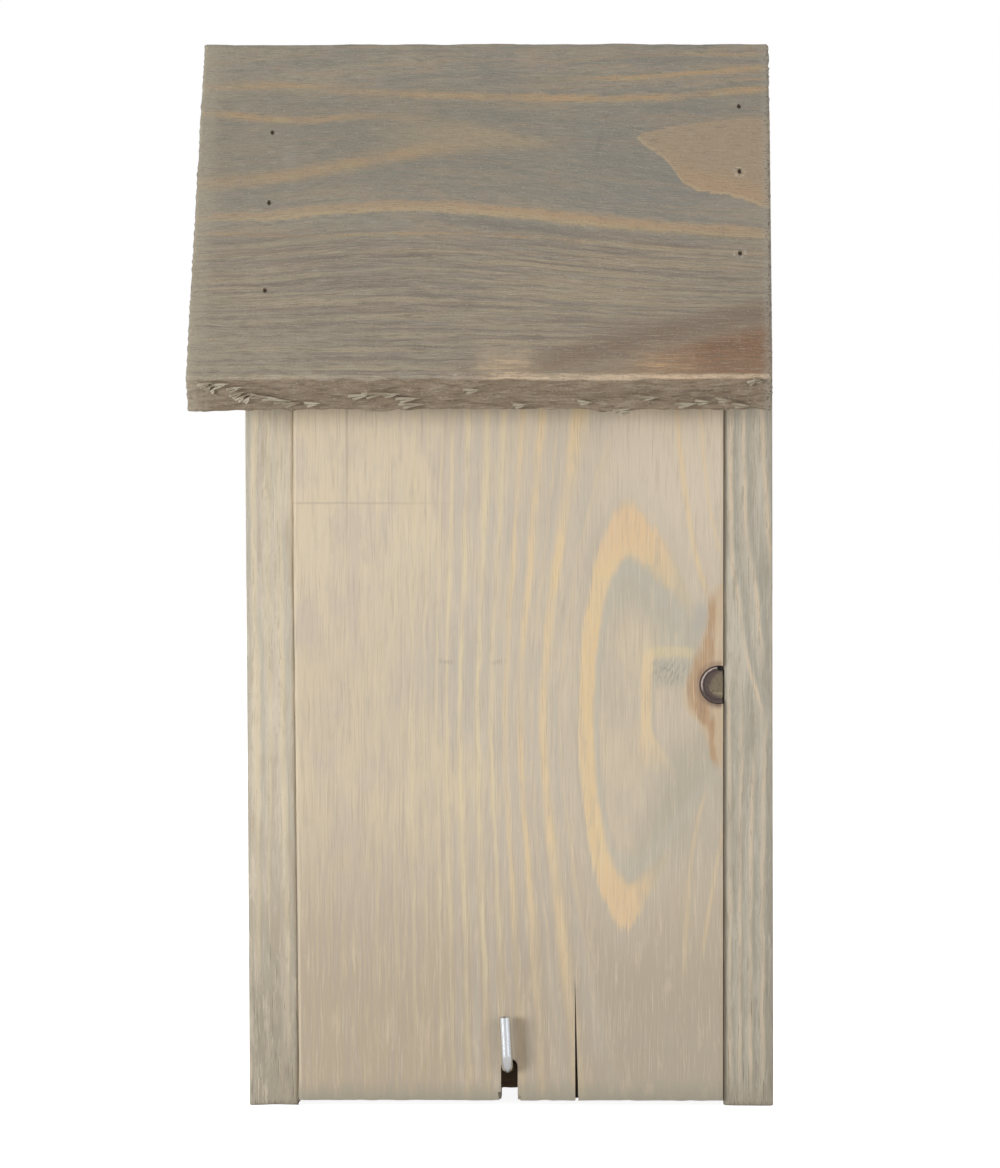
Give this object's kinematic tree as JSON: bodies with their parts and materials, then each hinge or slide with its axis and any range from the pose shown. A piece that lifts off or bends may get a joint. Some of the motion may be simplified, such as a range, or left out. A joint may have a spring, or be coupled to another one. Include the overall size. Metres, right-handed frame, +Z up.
{
  "type": "bird nest box",
  "caption": "Wooden bird nest box with a gable roof, a round entrance in the front, a keyhole in the back and a side door held by a bent wire hook.",
  "frame": {"origin": "middle of the bounding box at the level of the panels' feet", "axes": "+Z up; -Y is the front with the entrance; +Y is the wall; +X is the side with the door"},
  "size_m": [0.2036, 0.1724, 0.3182],
  "materials": {
    "wall_wood": "sawn softwood with a thin grey wash",
    "door_wood": "planed softwood with a thin pale wash",
    "floor_wood": "bare sawn softwood",
    "roof_wood": "sawn softwood with a grey-brown wash",
    "hook_steel": "bright zinc plating",
    "nail_steel": "dull dark steel"
  },
  "bodies": {
    "box": {"front_panel": "wall_wood", "back_panel": "wall_wood", "fixed_side_panel": "wall_wood", "floor_board": "floor_wood", "roof_board_door_side": "roof_wood", "roof_board_fixed_side": "roof_wood", "roof_nails_door_side_front": "nail_steel", "roof_nails_door_side_back": "nail_steel", "roof_nails_fixed_side_front": "nail_steel", "roof_nails_fixed_side_back": "nail_steel", "fixed_side_nails_front": "nail_steel", "fixed_side_nails_back": "nail_steel", "floor_nails_front": "nail_steel", "floor_nails_back": "nail_steel", "floor_nails_side": "nail_steel", "door_pivot_nail_front": "nail_steel", "door_pivot_nail_back": "nail_steel"},
    "door": {"door_panel": "door_wood"},
    "hook": {"latch_hook": "hook_steel"}
  },
  "joints": [
    {"name": "door_hinge", "type": "hinge", "parent": "box", "child": "door", "pos_m": [0.0685, 0.00825, 0.1939], "axis": [0, -1, 0], "range_deg": [0, 90]},
    {"name": "latch_turn", "type": "hinge", "parent": "box", "child": "hook", "pos_m": [0.0607, 0.00775, 0.0115], "axis": [1, 0, 0], "range_deg": [0, 177]}
  ]
}
